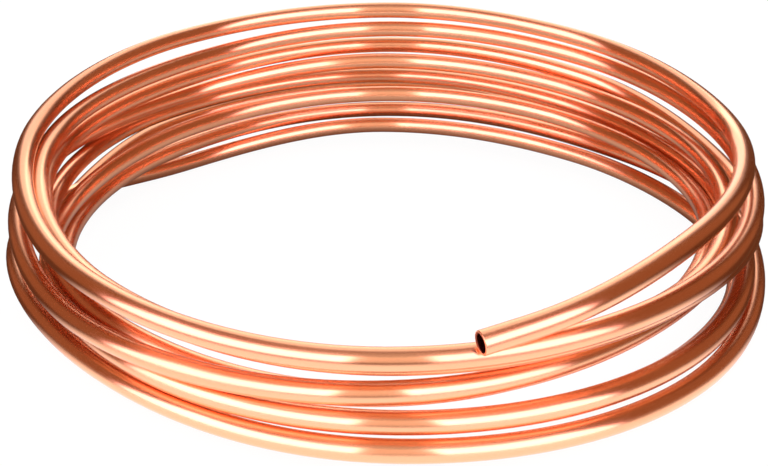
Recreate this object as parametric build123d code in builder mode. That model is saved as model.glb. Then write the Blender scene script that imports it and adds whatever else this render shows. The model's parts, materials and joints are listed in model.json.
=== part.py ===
from build123d import *
import os
from math import cos, radians, sin

# One length of soft copper tube, wound by hand into a loose springy coil.
# Units are millimetres. +Z is the coil's axis, the floor is Z = 0, and the
# free end that lies on top of the coil is at the front right (-Y, +X).

# tube
tube_od = 6.35        # quarter inch soft copper tube
tube_wall = 0.76
# coil
coil_radius = 117.5   # mean radius of the top turn, to the tube's centre line
end_straight = 12.0   # straight stretch left at each cut end

# Where the centre line goes, one row for each turn, from the free end down.
# The eight stations of a row are 45 degrees apart, from the right by way of
# the back, the left and the front. Each is (outward offset from coil_radius,
# height of the centre line above the floor), both in tube diameters, so a
# fatter tube spreads the turns.
top_end = (-74.5, 1.3, 6.4)       # angle, offset and height of the upper end
top_bend = (-45, 0.1, 7.4)
turns = [
    [(-0.5, 7.8), (-1.2, 8.8), (-1.1, 9.4), (-0.9, 9.0), (-0.5, 7.9), (0.2, 6.0), (0.7, 5.2), (0.8, 5.6)],
    [(-0.2, 6.7), (-0.6, 7.6), (-0.8, 7.9), (-0.8, 7.2), (-0.7, 6.1), (-0.6, 5.1), (-0.2, 4.6), (0.1, 4.7)],
    [(0.5, 5.4), (0.6, 6.1), (0.7, 6.4), (0.7, 6.1), (0.5, 5.2), (-0.2, 3.1), (0.3, 3.4), (-0.5, 3.7)],
    [(0.1, 4.3), (0.6, 4.9), (0.5, 5.3), (-0.2, 5.0), (-1.0, 4.2), (-1.3, 3.0), (-1.3, 2.3), (-1.4, 3.0)],
    [(-1.1, 3.0), (-0.9, 3.6), (-1.1, 3.5), (-1.1, 3.4), (-1.0, 2.8), (-0.7, 2.1), (0.1, 1.9), (0.3, 1.6)],
    [(0.7, 3.3), (-0.2, 2.7), (-0.1, 2.2), (0.2, 2.4), (-1.5, 1.7), (-1.6, 1.3), (-1.0, 1.2), (-0.4, 0.7)],
    [(0.1, 0.5), (-0.6, 0.7), (0.2, 0.7), (-0.3, 0.5), (1.0, 2.2), (-0.3, 1.1), (0.6, 0.9), (0.9, 0.5)],
    [(1.0, 1.9), (2.1, 3.4), (2.3, 3.6), (1.7, 1.7)],
]
tail_end = (158, 1.5, 0.9)        # the lower end, on the last row


def stations():
    """Angle, radius and height of every station along the tube, in order."""
    rows = [top_end, top_bend]
    for turn, eighths in enumerate(turns):
        for eighth, (out, height) in enumerate(eighths):
            rows.append((360 * turn + 45 * eighth, out, height))
    angle, out, height = tail_end
    rows.append((360 * (len(turns) - 1) + angle, out, height))
    return [(radians(a), coil_radius + o * tube_od, h * tube_od) for a, o, h in rows]


def slope(values, angles, i, keep_flat=False):
    """Rate of change with angle at station i, from the stations either side."""
    steps = [
        (values[j + 1] - values[j]) / (angles[j + 1] - angles[j])
        for j in (i - 1, i)
        if 0 <= j < len(values) - 1
    ]
    if len(steps) == 1:
        return steps[0]
    before, after = steps
    if keep_flat:
        # never overshoots a station, so the lowest turn stays on the floor
        return 0 if before * after <= 0 else 2 * before * after / (before + after)
    return (before + after) / 2


def points_and_directions():
    """The stations as points, each with the direction the tube runs there."""
    rows = stations()
    angles = [a for a, r, z in rows]
    radii = [r for a, r, z in rows]
    heights = [z for a, r, z in rows]
    points, directions = [], []
    for i, (a, r, z) in enumerate(rows):
        outward = Vector(cos(a), sin(a), 0)
        along = Vector(-sin(a), cos(a), 0)
        out_rate = slope(radii, angles, i)
        up_rate = slope(heights, angles, i, keep_flat=True)
        points.append(outward * r + Vector(0, 0, z))
        directions.append((outward * out_rate + along * r + Vector(0, 0, up_rate)).normalized())
    return points, directions


def joint_of_two_arcs(start, start_dir, end, end_dir):
    """Where two arcs meet that together join one station to the next."""
    across = end - start
    both = start_dir + end_dir
    a = 2 * (1 - start_dir.dot(end_dir))
    b = 2 * across.dot(both)
    reach = (-b + (b * b + 4 * a * across.dot(across)) ** 0.5) / (2 * a)
    return (start + end + (start_dir - end_dir) * reach) / 2


points, directions = points_and_directions()

with BuildPart() as coil:
    with BuildLine() as centre_line:
        Line(points[0] - directions[0] * end_straight, points[0])
        for i in range(len(points) - 1):
            middle = joint_of_two_arcs(points[i], directions[i], points[i + 1], directions[i + 1])
            arc = TangentArc(points[i], middle, tangent=directions[i])
            TangentArc(middle, points[i + 1], tangent=arc % 1)
        Line(points[-1], points[-1] + directions[-1] * end_straight)
    with BuildSketch(centre_line.line ^ 0):
        Circle(tube_od / 2)
        Circle(tube_od / 2 - tube_wall, mode=Mode.SUBTRACT)
    sweep(path=centre_line.line)

# the origin goes on the floor, under the middle of the coil
middle = coil.part.bounding_box().center()
shift = Pos(-middle.X, -middle.Y, 0)
copper_tube = shift * coil.part
copper_tube.label = "copper_tube"

os.makedirs("parts", exist_ok=True)
export_step(copper_tube, "parts/copper_tube.step")

# the middle of each straight end, and the way a fitting there pulls off
for name, at, out in (
    ("top", points[0] - directions[0] * end_straight / 2, -directions[0]),
    ("tail", points[-1] + directions[-1] * end_straight / 2, directions[-1]),
):
    at = at - Vector(middle.X, middle.Y, 0)
    print(name, [round(v, 4) for v in at], [round(v, 6) for v in out])
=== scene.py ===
# %% [markdown]
# # A loose coil of soft copper tube
#
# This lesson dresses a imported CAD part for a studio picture. The part is one
# length of quarter inch copper tube that somebody has wound by hand into about
# eight and a half springy turns. There is nothing else on it: no tie, no label,
# no cap. So all of the looks come from three things, which are a round and even
# tube, a route that wanders as real turns do, and a polished metal that mirrors
# its studio.

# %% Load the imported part
import json
from math import cos, pi, radians, sin, tan

import bpy
from mathutils import Matrix, Vector

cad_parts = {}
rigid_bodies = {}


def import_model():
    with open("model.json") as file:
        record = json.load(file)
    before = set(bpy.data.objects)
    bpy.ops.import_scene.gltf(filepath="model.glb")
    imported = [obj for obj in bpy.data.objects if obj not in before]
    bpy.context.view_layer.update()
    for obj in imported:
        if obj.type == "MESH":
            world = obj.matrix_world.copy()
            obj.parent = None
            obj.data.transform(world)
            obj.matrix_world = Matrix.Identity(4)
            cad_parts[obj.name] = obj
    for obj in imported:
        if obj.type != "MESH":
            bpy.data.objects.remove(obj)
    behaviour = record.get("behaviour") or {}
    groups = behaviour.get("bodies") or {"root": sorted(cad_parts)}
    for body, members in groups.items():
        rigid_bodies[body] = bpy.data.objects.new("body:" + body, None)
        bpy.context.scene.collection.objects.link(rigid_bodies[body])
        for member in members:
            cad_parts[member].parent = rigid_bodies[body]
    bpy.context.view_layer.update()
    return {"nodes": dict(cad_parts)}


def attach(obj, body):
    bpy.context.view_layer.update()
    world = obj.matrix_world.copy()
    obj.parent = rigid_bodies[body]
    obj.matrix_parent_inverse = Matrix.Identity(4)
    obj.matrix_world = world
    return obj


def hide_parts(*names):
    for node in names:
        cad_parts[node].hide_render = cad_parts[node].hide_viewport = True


for leftover in list(bpy.data.objects):
    bpy.data.objects.remove(leftover)

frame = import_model()
print("CAD nodes:", sorted(frame["nodes"]))

# %% [markdown]
# ## Sizes
#
# Blender works in metres here. A coil is easiest to describe in tube diameters,
# because that is the unit in which its turns sit beside and above each other,
# so every place along the route below is in diameters and is scaled once.

# %% Tube and coil sizes
TUBE_OD = 0.00635
TUBE_WALL = 0.00076
COIL_RADIUS = 0.1175
END_STRAIGHT = 0.012
LIP_DEPTH = 0.0003

# %% [markdown]
# ## The route of the tube
#
# A real loose coil is not a helix. Each turn has its own size and lean, the
# turns touch in one place and part in another, and daylight shows between
# them. One way to get that is to add noise to a helix, but noise never gives
# the crossings of this very coil. So the route is listed, eight stations to a
# turn, each with how far it sits outside the mean radius and how high.
# The CAD part has the same tube and the same two end places, but one turn fewer
# between them, so its turns lie up to a centimetre from these.

# %% Stations, eight to a turn: right, right back, back, left back, left ...
TOP_END = (-74.5, 1.3, 6.4)
TOP_BEND = (-45, 0.1, 7.4)
TURNS = [
    [(-0.5, 7.7), (-0.9, 8.7), (-1.1, 9.4), (-1.2, 9.1),
     (-0.5, 7.9), (0.1, 5.9), (0.9, 5.3), (0.8, 5.6)],
    [(-0.1, 6.4), (-0.8, 7.5), (-1.3, 8.2), (-1.8, 7.7),
     (-1.0, 6.9), (-0.8, 5.1), (0.0, 4.6), (0.2, 4.7)],
    [(0.5, 4.2), (-0.1, 6.0), (-0.1, 6.8), (-0.8, 6.3),
     (-0.8, 5.6), (-1.5, 4.2), (-1.0, 4.1), (-0.7, 4.1)],
    [(-0.8, 4.8), (-1.1, 5.4), (-1.2, 6.0), (-0.4, 5.1),
     (0.4, 4.7), (-0.1, 3.1), (-0.2, 3.1), (-1.1, 3.0)],
    [(-0.3, 3.2), (-0.4, 4.0), (0.8, 4.4), (0.8, 3.9),
     (-0.8, 3.8), (-1.2, 3.0), (-1.3, 2.3), (-2.0, 2.3)],
    [(-1.3, 2.9), (-1.6, 3.5), (-1.8, 3.9), (-2.0, 3.6),
     (-1.1, 2.6), (-0.7, 2.1), (0.1, 1.9), (0.5, 1.8)],
    [(0.2, 2.3), (-0.2, 1.9), (0.9, 1.9), (-0.5, 1.8),
     (-1.4, 1.6), (-1.8, 1.1), (-1.7, 0.7), (-0.7, 0.5)],
    [(0.3, 0.5), (-1.2, 1.2), (-0.4, 1.2), (-0.2, 0.5),
     (1.0, 2.1), (-0.3, 1.1), (0.6, 0.9), (1.0, 0.6)],
    [(1.0, 1.6), (2.0, 1.9), (2.5, 3.0), (2.1, 2.3)],
]
TAIL_END = (158, 1.5, 0.9)


def stations():
    """Angle, radius and height of each station, in radians and metres."""
    rows = [TOP_END, TOP_BEND]
    for turn, eighths in enumerate(TURNS):
        for eighth, (out, height) in enumerate(eighths):
            rows.append((360 * turn + 45 * eighth, out, height))
    angle, out, height = TAIL_END
    rows.append((360 * (len(TURNS) - 1) + angle, out, height))
    return [(radians(a), COIL_RADIUS + o * TUBE_OD, h * TUBE_OD) for a, o, h in rows]


ROUTE = stations()
print("stations:", len(ROUTE))

# %% [markdown]
# ## A smooth line through the stations
#
# A Bezier curve passes through its points and leaves each one along its
# handles, so it suits a tube that must run through known places. The handle's
# direction comes from the stations on both sides. Its length is the one that
# makes a Bezier span follow a circular arc, which is four thirds of the
# tangent of a quarter of the angle turned. Heights are limited where they
# would overshoot, so the bottom turn lies on the floor and never in it.


# %% Slopes and handles
def slope(values, angles, i, keep_flat=False):
    """Rate of change with angle at station i, from the stations either side."""
    steps = [
        (values[j + 1] - values[j]) / (angles[j + 1] - angles[j])
        for j in (i - 1, i)
        if 0 <= j < len(values) - 1
    ]
    if len(steps) == 1:
        return steps[0]
    before, after = steps
    if keep_flat:
        return 0 if before * after <= 0 else 2 * before * after / (before + after)
    return (before + after) / 2


def point_and_pull(i):
    """Station i as a point, with the change of place for one radian of turn."""
    angles, radii, heights = zip(*ROUTE)
    a, r, z = ROUTE[i]
    outward = Vector((cos(a), sin(a), 0))
    along = Vector((-sin(a), cos(a), 0))
    pull = outward * slope(radii, angles, i) + along * r
    pull.z = slope(heights, angles, i, keep_flat=True)
    return outward * r + Vector((0, 0, z)), pull


# %% The centre line as a curve object
def centre_line():
    data = bpy.data.curves.new("centre line", "CURVE")
    data.dimensions = "3D"
    data.resolution_u = 32
    spline = data.splines.new("BEZIER")
    spline.bezier_points.add(len(ROUTE) + 1)
    knots = spline.bezier_points
    for i in range(len(ROUTE)):
        place, pull = point_and_pull(i)
        before = ROUTE[i][0] - ROUTE[max(i - 1, 0)][0]
        after = ROUTE[min(i + 1, len(ROUTE) - 1)][0] - ROUTE[i][0]
        knot = knots[i + 1]
        knot.co = place
        knot.handle_left = place - pull * 4 / 3 * tan(before / 4)
        knot.handle_right = place + pull * 4 / 3 * tan(after / 4)
    # a straight stretch at each cut end, with its handles at its thirds
    last = len(ROUTE) - 1
    for end, station, sign, inwards, outwards in (
        (0, 0, -1, "handle_right", "handle_left"),
        (last + 2, last, 1, "handle_left", "handle_right"),
    ):
        place, pull = point_and_pull(station)
        third = pull.normalized() * sign * END_STRAIGHT / 3
        setattr(knots[station + 1], outwards, place + third)
        knots[end].co = place + third * 3
        setattr(knots[end], inwards, place + third * 2)
        setattr(knots[end], outwards, place + third * 4)
    line = bpy.data.objects.new("centre_line", data)
    bpy.context.scene.collection.objects.link(line)
    return line


tube_line = centre_line()

# %% [markdown]
# ## The tube, as a bent sheet of grid
#
# Curve to Mesh would sweep a circle along the line, but a hollow tube needs an
# inner wall, a rolled lip at each cut end and one closed skin. So this tree
# makes a flat grid and bends it. A row of the grid is a ring round the tube.
# The rows run along the outer wall, over the lip at the far end, back along
# the bore and over the near lip to where they began. Each row needs just two
# numbers, its distance along the line and its radius, and a little arithmetic
# on the row's number gives both.


# %% Small helpers for building node trees
class Tree:
    """A node tree with short ways to add a node and to do arithmetic."""

    def __init__(self, tree):
        self.tree = tree
        self.count = 0

    def add(self, kind, name="", **settings):
        node = self.tree.nodes.new(kind)
        node.label = name
        node.location = (180 * (self.count % 12), -220 * (self.count // 12))
        self.count += 1
        for key, value in settings.items():
            setattr(node, key, value)
        return node

    def feed(self, socket, value):
        if isinstance(value, bpy.types.NodeSocket):
            self.tree.links.new(value, socket)
        else:
            socket.default_value = value

    def math(self, operation, *values, clamp=False):
        node = self.add("ShaderNodeMath", operation=operation, use_clamp=clamp)
        for socket, value in zip(node.inputs, values):
            self.feed(socket, value)
        return node.outputs[0]


# %% The tree: row numbers to distance and radius
def bent_grid_tree():
    group = bpy.data.node_groups.new("tube along a line", "GeometryNodeTree")
    face = group.interface
    face.new_socket("Geometry", in_out="INPUT", socket_type="NodeSocketGeometry")
    for name, kind, value in (
        ("Outer radius", "NodeSocketFloat", TUBE_OD / 2),
        ("Wall", "NodeSocketFloat", TUBE_WALL),
        ("Lip depth", "NodeSocketFloat", LIP_DEPTH),
        ("Outer rings", "NodeSocketInt", 1500),
        ("Bore rings", "NodeSocketInt", 700),
        ("Lip rings", "NodeSocketInt", 8),
        ("Sides", "NodeSocketInt", 32),
    ):
        face.new_socket(name, in_out="INPUT", socket_type=kind).default_value = value
    face.new_socket("Metal", in_out="INPUT", socket_type="NodeSocketMaterial")
    face.new_socket("Geometry", in_out="OUTPUT", socket_type="NodeSocketGeometry")

    t = Tree(group)
    given = t.add("NodeGroupInput").outputs
    m = t.math

    upright = t.add("GeometryNodeSetCurveNormal", mode="Z_UP")
    t.feed(upright.inputs["Curve"], given["Geometry"])
    line = upright.outputs["Curve"]
    length = t.add("GeometryNodeCurveLength")
    t.feed(length.inputs[0], line)
    length = length.outputs[0]

    # the flat grid, one column more than the sides, so that the edges meet
    columns = m("ADD", given["Sides"], 1)
    turn_far = m("ADD", given["Outer rings"], given["Lip rings"])
    turn_near = m("ADD", turn_far, given["Bore rings"])
    last_row = m("ADD", turn_near, given["Lip rings"])
    grid = t.add("GeometryNodeMeshGrid")
    t.feed(grid.inputs["Vertices X"], m("ADD", last_row, 1))
    t.feed(grid.inputs["Vertices Y"], columns)

    index = t.add("GeometryNodeInputIndex").outputs[0]
    row = m("FLOOR", m("DIVIDE", m("ADD", index, 0.5), columns))
    column = m("SUBTRACT", index, m("MULTIPLY", row, columns))
    around = m("MULTIPLY", m("DIVIDE", column, given["Sides"]), 2 * pi)

    # how far each of the four stretches of rows has got, from 0 to 1
    out = m("DIVIDE", row, given["Outer rings"], clamp=True)
    far = m("DIVIDE", m("SUBTRACT", row, given["Outer rings"]), given["Lip rings"], clamp=True)
    back = m("DIVIDE", m("SUBTRACT", row, turn_far), given["Bore rings"], clamp=True)
    near = m("DIVIDE", m("SUBTRACT", row, turn_near), given["Lip rings"], clamp=True)
    far = m("MULTIPLY", far, pi)
    near = m("MULTIPLY", near, pi)

    # the lip is half an oval, from the outer wall over to the bore, and a power
    # under 1 makes its top flat and its corners tight, as a cut end is
    lip = given["Lip depth"]
    straight = m("SUBTRACT", length, m("MULTIPLY", lip, 2))
    flat = 0.6
    bulge = m("SUBTRACT", m("POWER", m("SINE", far), flat), m("POWER", m("SINE", near), flat))
    distance = m("ADD", m("MULTIPLY", straight, m("SUBTRACT", out, back)), lip)
    distance = m("ADD", distance, m("MULTIPLY", lip, bulge))
    swing = m("SUBTRACT", m("ADD", m("COSINE", far), 1), m("COSINE", near))
    half_wall = m("MULTIPLY", given["Wall"], 0.5)
    middle_of_wall = m("SUBTRACT", given["Outer radius"], half_wall)
    radius = m("ADD", middle_of_wall, m("MULTIPLY", half_wall, swing))

    # place each point of the grid
    at = t.add("GeometryNodeSampleCurve", mode="LENGTH", use_all_curves=True)
    t.feed(at.inputs["Curves"], line)
    t.feed(at.inputs["Length"], distance)
    sideways = t.add("ShaderNodeVectorMath", operation="CROSS_PRODUCT")
    t.feed(sideways.inputs[0], at.outputs["Tangent"])
    t.feed(sideways.inputs[1], at.outputs["Normal"])
    across = m("MULTIPLY", radius, m("COSINE", around))
    over = m("MULTIPLY", radius, m("SINE", around))

    def scaled(vector, by):
        node = t.add("ShaderNodeVectorMath", operation="SCALE")
        t.feed(node.inputs[0], vector)
        t.feed(node.inputs["Scale"], by)
        return node.outputs["Vector"]

    def summed(a, b):
        node = t.add("ShaderNodeVectorMath", operation="ADD")
        t.feed(node.inputs[0], a)
        t.feed(node.inputs[1], b)
        return node.outputs["Vector"]

    spoke = summed(scaled(at.outputs["Normal"], across), scaled(sideways.outputs[0], over))
    move = t.add("GeometryNodeSetPosition")
    t.feed(move.inputs["Geometry"], grid.outputs["Mesh"])
    t.feed(move.inputs["Position"], summed(at.outputs["Position"], spoke))

    # the same point on the tube while it was still straight
    unbent = t.add("ShaderNodeCombineXYZ")
    t.feed(unbent.inputs["X"], distance)
    t.feed(unbent.inputs["Y"], across)
    t.feed(unbent.inputs["Z"], over)
    keep = t.add("GeometryNodeStoreNamedAttribute", data_type="FLOAT_VECTOR", domain="POINT")
    t.feed(keep.inputs["Geometry"], move.outputs["Geometry"])
    t.feed(keep.inputs["Name"], "unbent")
    t.feed(keep.inputs["Value"], unbent.outputs[0])
    # the way round the tube, across its draw lines
    round_way = summed(
        scaled(at.outputs["Normal"], m("MULTIPLY", m("SINE", around), -1)),
        scaled(sideways.outputs[0], m("COSINE", around)),
    )
    rings = t.add("GeometryNodeStoreNamedAttribute", data_type="FLOAT_VECTOR", domain="POINT")
    t.feed(rings.inputs["Geometry"], keep.outputs["Geometry"])
    t.feed(rings.inputs["Name"], "round")
    t.feed(rings.inputs["Value"], round_way)

    closed = t.add("GeometryNodeMergeByDistance")
    t.feed(closed.inputs["Geometry"], rings.outputs["Geometry"])
    t.feed(closed.inputs["Distance"], 0.000004)
    smooth = t.add("GeometryNodeSetShadeSmooth")
    t.feed(smooth.inputs["Geometry"], closed.outputs["Geometry"])
    real = t.add("GeometryNodeRealizeInstances")
    t.feed(real.inputs["Geometry"], smooth.outputs["Geometry"])
    metal = t.add("GeometryNodeSetMaterial")
    t.feed(metal.inputs["Geometry"], real.outputs["Geometry"])
    t.feed(metal.inputs["Material"], given["Metal"])
    done = t.add("NodeGroupOutput")
    t.feed(done.inputs["Geometry"], metal.outputs["Geometry"])
    return group


tube_tree = bent_grid_tree()
print("tube tree:", len(tube_tree.nodes), "nodes")

# %% [markdown]
# ## Bright drawn copper
#
# Copper's colour is in its reflection, so the shader is fully metallic and the
# base colour is the tint of the mirror. Tube like this has been pulled through
# a die, which leaves fine lines along its length, and then handled, which
# leaves faint warm patches. Both patterns read the tube as it was before it
# was bent, so that they follow every turn.
#
# The fine lines also decide the shape of the highlights. They spread light
# round the tube and hardly at all along it, so a highlight is broad across the
# tube and ends sharply along it. A noise bump alone would show that only very
# close up. An anisotropic reflection shows it at any distance, and its tangent
# is the way round the tube that the tree stored.


# %% The copper material
# how often each pattern repeats per metre: along the tube, then across it
DRAW_LINES = (8, 2600, 2600)
HANDLED = (22, 120, 120)
POLISHED_TINTS = ((0.91, 0.475, 0.26, 1), (0.88, 0.415, 0.21, 1))
BORE_TINT = (0.30, 0.08, 0.04, 1)
SMOOTHEST, DULLEST, BORE_DULLER = 0.17, 0.25, 0.3


def copper():
    metal = bpy.data.materials.new("bright drawn copper")
    metal.use_nodes = True
    tree = metal.node_tree
    shader = tree.nodes["Principled BSDF"]
    t = Tree(tree)
    unbent = t.add("ShaderNodeAttribute", attribute_name="unbent").outputs["Vector"]

    # draw lines: noise stretched far along the tube
    stretch = t.add("ShaderNodeMapping")
    t.feed(stretch.inputs["Vector"], unbent)
    stretch.inputs["Scale"].default_value = DRAW_LINES
    lines = t.add("ShaderNodeTexNoise", "draw lines")
    t.feed(lines.inputs["Vector"], stretch.outputs[0])
    lines.inputs["Scale"].default_value = 1
    lines.inputs["Detail"].default_value = 4

    # handling: slow patches of warmer, duller metal
    wide = t.add("ShaderNodeMapping")
    t.feed(wide.inputs["Vector"], unbent)
    wide.inputs["Scale"].default_value = HANDLED
    patches = t.add("ShaderNodeTexNoise", "handled patches")
    t.feed(patches.inputs["Vector"], wide.outputs[0])
    patches.inputs["Scale"].default_value = 1
    patches.inputs["Detail"].default_value = 3

    tint = t.add("ShaderNodeMix", data_type="RGBA")
    t.feed(tint.inputs["Factor"], patches.outputs["Fac"])
    tint.inputs["A"].default_value, tint.inputs["B"].default_value = POLISHED_TINTS

    # the bore is rougher, as it was never polished, and far darker in tint; it starts a little
    # way inside the lip
    parts = t.add("ShaderNodeSeparateXYZ")
    t.feed(parts.inputs[0], unbent)
    y_squared = t.math("POWER", parts.outputs["Y"], 2)
    z_squared = t.math("POWER", parts.outputs["Z"], 2)
    reach = t.math("SQRT", t.math("ADD", y_squared, z_squared))
    bore = t.math("LESS_THAN", reach, TUBE_OD / 2 - TUBE_WALL * 0.7)
    skin = t.add("ShaderNodeMix", data_type="RGBA")
    t.feed(skin.inputs["Factor"], bore)
    t.feed(skin.inputs["A"], tint.outputs["Result"])
    skin.inputs["B"].default_value = BORE_TINT
    t.feed(shader.inputs["Base Color"], skin.outputs["Result"])
    shader.inputs["Metallic"].default_value = 1

    rough = t.add("ShaderNodeMapRange")
    t.feed(rough.inputs["Value"], t.math("ADD", lines.outputs["Fac"], patches.outputs["Fac"]))
    rough.inputs["From Min"].default_value = 0.6
    rough.inputs["From Max"].default_value = 1.4
    rough.inputs["To Min"].default_value = SMOOTHEST
    rough.inputs["To Max"].default_value = DULLEST
    duller = t.math("MULTIPLY", bore, BORE_DULLER)
    t.feed(shader.inputs["Roughness"], t.math("ADD", rough.outputs[0], duller))

    # the lines blur a reflection round the tube and keep it crisp along it
    shader.inputs["Anisotropic"].default_value = 0.95
    round_tube = t.add("ShaderNodeAttribute", attribute_name="round").outputs["Vector"]
    turned = t.add("ShaderNodeVectorTransform", vector_type="VECTOR")
    turned.convert_from, turned.convert_to = "OBJECT", "WORLD"
    t.feed(turned.inputs[0], round_tube)
    t.feed(shader.inputs["Tangent"], turned.outputs[0])

    bump = t.add("ShaderNodeBump")
    bump.inputs["Strength"].default_value = 0.15
    bump.inputs["Distance"].default_value = 0.00005
    t.feed(bump.inputs["Height"], lines.outputs["Fac"])
    t.feed(shader.inputs["Normal"], bump.outputs[0])
    return metal


copper_metal = copper()


# %% Make the tube and keep it as a plain mesh
def finished_tube():
    bend = tube_line.modifiers.new("tube along a line", "NODES")
    bend.node_group = tube_tree
    face = tube_tree.interface.items_tree
    sockets = {s.name: s.identifier for s in face if s.in_out == "INPUT"}
    bend[sockets["Metal"]] = copper_metal
    bend[sockets["Outer radius"]] = TUBE_OD / 2
    bend[sockets["Wall"]] = TUBE_WALL
    graph = bpy.context.evaluated_depsgraph_get()
    mesh = bpy.data.meshes.new_from_object(tube_line.evaluated_get(graph))
    tube_line.modifiers.remove(bend)
    return mesh


tube_mesh = finished_tube()
tube_mesh.name = "copper_tube_skin"
tube = bpy.data.objects.new("bright_copper_tube", tube_mesh)
bpy.context.scene.collection.objects.link(tube)
bpy.data.objects.remove(tube_line)
print("tube:", len(tube_mesh.vertices), "points,", len(tube_mesh.polygons), "faces")


# %% Centre the coil as the CAD part is centred
def middle_of(mesh):
    xs = [v.co.x for v in mesh.vertices]
    ys = [v.co.y for v in mesh.vertices]
    return Vector(((min(xs) + max(xs)) / 2, (min(ys) + max(ys)) / 2, 0))


MIDDLE = middle_of(tube_mesh)
tube_mesh.transform(Matrix.Translation(-MIDDLE))
print("the coil's box is centred", [round(v * 1000, 2) for v in MIDDLE], "mm from its axis")


# %% Faces point outwards
def volume(mesh):
    total = 0
    for face in mesh.polygons:
        a, b, c = (mesh.vertices[v].co for v in face.vertices[:3])
        total += a.dot((b - a).cross(c - a))
        if len(face.vertices) == 4:
            d = mesh.vertices[face.vertices[3]].co
            total += a.dot((c - a).cross(d - a))
    return total / 6


if volume(tube_mesh) < 0:
    tube_mesh.flip_normals()
print("copper:", round(volume(tube_mesh) * 1e9), "mm3")

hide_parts("copper_tube")
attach(tube, "root")

# %% [markdown]
# ## The floor
#
# The picture's ground is plain white and the coil seems to lie on light. A
# floor that is only a white diffuse sheet would go grey between the panels, so
# what the camera sees is mostly its own white, and the rest is lit and keeps
# the coil's soft shadow.
#
# What the copper mirrors in the floor matters more than what the camera sees
# of it, because half of every tube faces down. A floor that is white all round
# would wash the lower halves out. So mirrored rays see painted light and shade
# in the floor instead: a dark warm sheet of painted shade, with a painted bright
# pool of light before the coil and a dim one in its middle.


# %% Floor
WHITE_SHARE = 0.9
PAINT = (0.9, 0.9, 0.9, 1)
OWN_WHITE = 1.05
# painted shade and painted light, which the floor shows only to mirrored rays
MIRRORED_PAINTED_SHADE = (0.13, 0.05, 0.025, 1)
MIRRORED_PAINTED_LIGHT = (1.5, 1.42, 1.55, 1)


def white_floor():
    ground = bpy.data.materials.new("white floor")
    ground.use_nodes = True
    tree = ground.node_tree
    tree.nodes.clear()
    t = Tree(tree)
    m = t.math
    paint = t.add("ShaderNodeBsdfDiffuse")
    paint.inputs["Color"].default_value = PAINT
    own = t.add("ShaderNodeEmission")
    own.inputs["Color"].default_value = (1, 1, 1, 1)
    own.inputs["Strength"].default_value = OWN_WHITE

    # how far each place is from the middle, and how squarely before the coil
    place = t.add("ShaderNodeSeparateXYZ")
    t.feed(place.inputs[0], t.add("ShaderNodeNewGeometry").outputs["Position"])
    x, y = place.outputs["X"], place.outputs["Y"]
    away = m("SQRT", m("ADD", m("MULTIPLY", x, x), m("MULTIPLY", y, y)))
    before = m("DIVIDE", m("MULTIPLY", y, -1), m("MAXIMUM", away, 0.001))

    def ramp(value, low, high, start, end):
        node = t.add("ShaderNodeMapRange", interpolation_type="SMOOTHSTEP")
        t.feed(node.inputs["Value"], value)
        names = ("From Min", "From Max", "To Min", "To Max")
        for name, number in zip(names, (low, high, start, end)):
            node.inputs[name].default_value = number
        return node.outputs[0]

    # painted pools of light in the mirrored floor: a bright one before the coil and a dimmer one
    # in its middle, over a sheet of painted shade
    painted_front_pool = m("MULTIPLY", ramp(before, 0.3, 0.7, 0, 1), ramp(away, 0.20, 0.30, 1, 0))
    painted_middle_pool = ramp(away, 0.08, 0.12, 0.4, 0)
    painted_reflection = t.add("ShaderNodeEmission")
    glow = t.add("ShaderNodeMix", data_type="RGBA")
    t.feed(glow.inputs["Factor"], m("MAXIMUM", painted_front_pool, painted_middle_pool))
    glow.inputs["A"].default_value = MIRRORED_PAINTED_SHADE
    glow.inputs["B"].default_value = MIRRORED_PAINTED_LIGHT
    t.feed(painted_reflection.inputs["Color"], glow.outputs["Result"])

    seen = t.add("ShaderNodeLightPath")

    def mix(factor, first, second):
        node = t.add("ShaderNodeMixShader")
        for socket, value in zip(node.inputs, (factor, first, second)):
            t.feed(socket, value)
        return node.outputs[0]

    share = m("MULTIPLY", seen.outputs["Is Camera Ray"], WHITE_SHARE)
    plain = mix(share, paint.outputs[0], own.outputs[0])
    # mirrored rays see the painted light and shade, not the lit floor
    out = t.add("ShaderNodeOutputMaterial")
    t.feed(out.inputs["Surface"], mix(seen.outputs["Is Glossy Ray"], plain, painted_reflection.outputs[0]))
    return ground


def floor_sheet(size=3.0):
    mesh = bpy.data.meshes.new("floor")
    h = size / 2
    mesh.from_pydata([(-h, -h, 0), (h, -h, 0), (h, h, 0), (-h, h, 0)], [], [(0, 1, 2, 3)])
    mesh.materials.append(white_floor())
    sheet = bpy.data.objects.new("floor", mesh)
    bpy.context.scene.collection.objects.link(sheet)
    return sheet


floor_sheet()

# %% [markdown]
# ## Light
#
# A polished tube has no shading of its own, only pictures of what stands round
# it. The world is painted as a small studio. Two bright panels stand left and
# right of the camera, a dimmer one fills the space between them, and others
# hang overhead and stand behind the coil. The gaps are dark and warm, and they
# matter as much as the panels, because they give the metal its depth. Only
# mirrored rays see the panels. The floor is lit by an even white.
#
# The order of the numbers in a panel is: bearing of its middle, half its
# width, lowest and highest edge, soft edge, all in degrees, and colour. The
# bearing is 0 at the right and -90 at the camera.


# %% The studio as a world
PANELS = [
    # left of the camera
    (-138, 33, 3, 48, 5, (4.1, 3.0, 4.0)),
    # right of the camera
    (-53, 23, 3, 48, 5, (4.1, 3.0, 4.0)),
    # between those two
    (-90.5, 14.5, 6, 50, 3, (1.0, 0.86, 0.82)),
    # overhead, over the camera
    (-90, 50, 50, 95, 8, (0.5, 0.45, 0.45)),
    # low behind the coil
    (90, 14, -30, 30, 4, (1.7, 1.6, 1.65)),
    # high behind the coil
    (90, 24, 30, 68, 10, (1.3, 1.2, 1.3)),
    # dark wall at the right
    (0, 35, -5, 100, 12, (0.21, 0.1, 0.06)),
    # dark wall at the left
    (180, 35, -5, 100, 12, (0.21, 0.1, 0.06)),
]
GAPS = (0.13, 0.045, 0.02)


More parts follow.
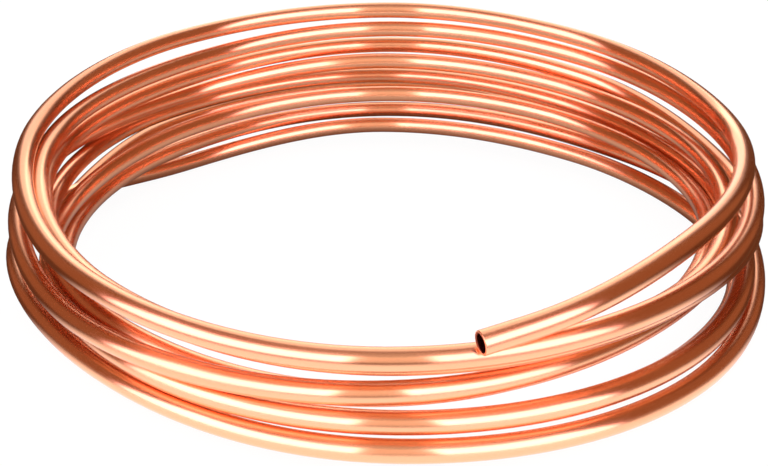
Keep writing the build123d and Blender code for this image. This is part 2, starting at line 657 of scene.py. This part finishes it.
def studio():
    world = bpy.data.worlds.new("studio")
    world.use_nodes = True
    bpy.context.scene.world = world
    tree = world.node_tree
    tree.nodes.clear()
    t = Tree(tree)
    m = t.math
    way = t.add("ShaderNodeTexCoord").outputs["Generated"]

    def along(azimuth):
        """How far the way looked points along a level direction."""
        node = t.add("ShaderNodeVectorMath", operation="DOT_PRODUCT")
        t.feed(node.inputs[0], way)
        node.inputs[1].default_value = (cos(radians(azimuth)), sin(radians(azimuth)), 0)
        return node.outputs["Value"]

    def within(angle, low, high, edge):
        """1 between two angles, falling to 0 over the edge outside them."""
        up = t.add("ShaderNodeMapRange", interpolation_type="SMOOTHSTEP")
        down = t.add("ShaderNodeMapRange", interpolation_type="SMOOTHSTEP")
        for node, first, last in ((up, low - edge, low), (down, high + edge, high)):
            t.feed(node.inputs["Value"], angle)
            node.inputs["From Min"].default_value = radians(first)
            node.inputs["From Max"].default_value = radians(last)
        return m("MULTIPLY", up.outputs[0], down.outputs[0])

    parts = t.add("ShaderNodeSeparateXYZ")
    t.feed(parts.inputs[0], way)
    elevation = m("ARCSINE", parts.outputs["Z"])
    total = GAPS
    for azimuth, half, low, high, edge, colour in PANELS:
        bearing = m("ARCTAN2", along(azimuth + 90), along(azimuth))
        across = within(bearing, -half, half, edge)
        box = m("MULTIPLY", across, within(elevation, low, high, edge))
        shine = t.add("ShaderNodeVectorMath", operation="MULTIPLY_ADD")
        t.feed(shine.inputs[0], box)
        shine.inputs[1].default_value = colour
        t.feed(shine.inputs[2], total)
        total = shine.outputs["Vector"]
    seen = t.add("ShaderNodeLightPath")
    choice = t.add("ShaderNodeMix", data_type="RGBA")
    t.feed(choice.inputs["Factor"], seen.outputs["Is Glossy Ray"])
    choice.inputs["A"].default_value = (1, 1, 1, 1)
    t.feed(choice.inputs["B"], total)
    glow = t.add("ShaderNodeBackground")
    t.feed(glow.inputs["Color"], choice.outputs["Result"])
    out = t.add("ShaderNodeOutputWorld")
    t.feed(out.inputs["Surface"], glow.outputs[0])


studio()

# %% [markdown]
# ## The camera
#
# The camera stands about 0.4 m from the middle of the coil and looks down on
# it. Its place is counted in tube diameters from the coil's axis, like
# the route, and then moved with the coil to the part's own origin.

# %% Camera
# in tube diameters from the coil's axis
CAMERA_AT = (0.0, -56.31, 27.98)
LOOKS_DOWN = radians(25.22)
ROLL = radians(-0.445)
LENS = 53.41


def camera():
    data = bpy.data.cameras.new("camera")
    data.sensor_fit = "HORIZONTAL"
    data.sensor_width = 36
    data.lens = LENS
    data.clip_start = 0.01
    eye = bpy.data.objects.new("camera", data)
    bpy.context.scene.collection.objects.link(eye)
    place = Matrix.Translation(Vector(CAMERA_AT) * TUBE_OD - MIDDLE)
    tilt = Matrix.Rotation(pi / 2 - LOOKS_DOWN, 4, "X")
    eye.matrix_world = place @ tilt @ Matrix.Rotation(ROLL, 4, "Z")
    bpy.context.scene.camera = eye


camera()
bpy.context.scene.view_settings.view_transform = "Standard"
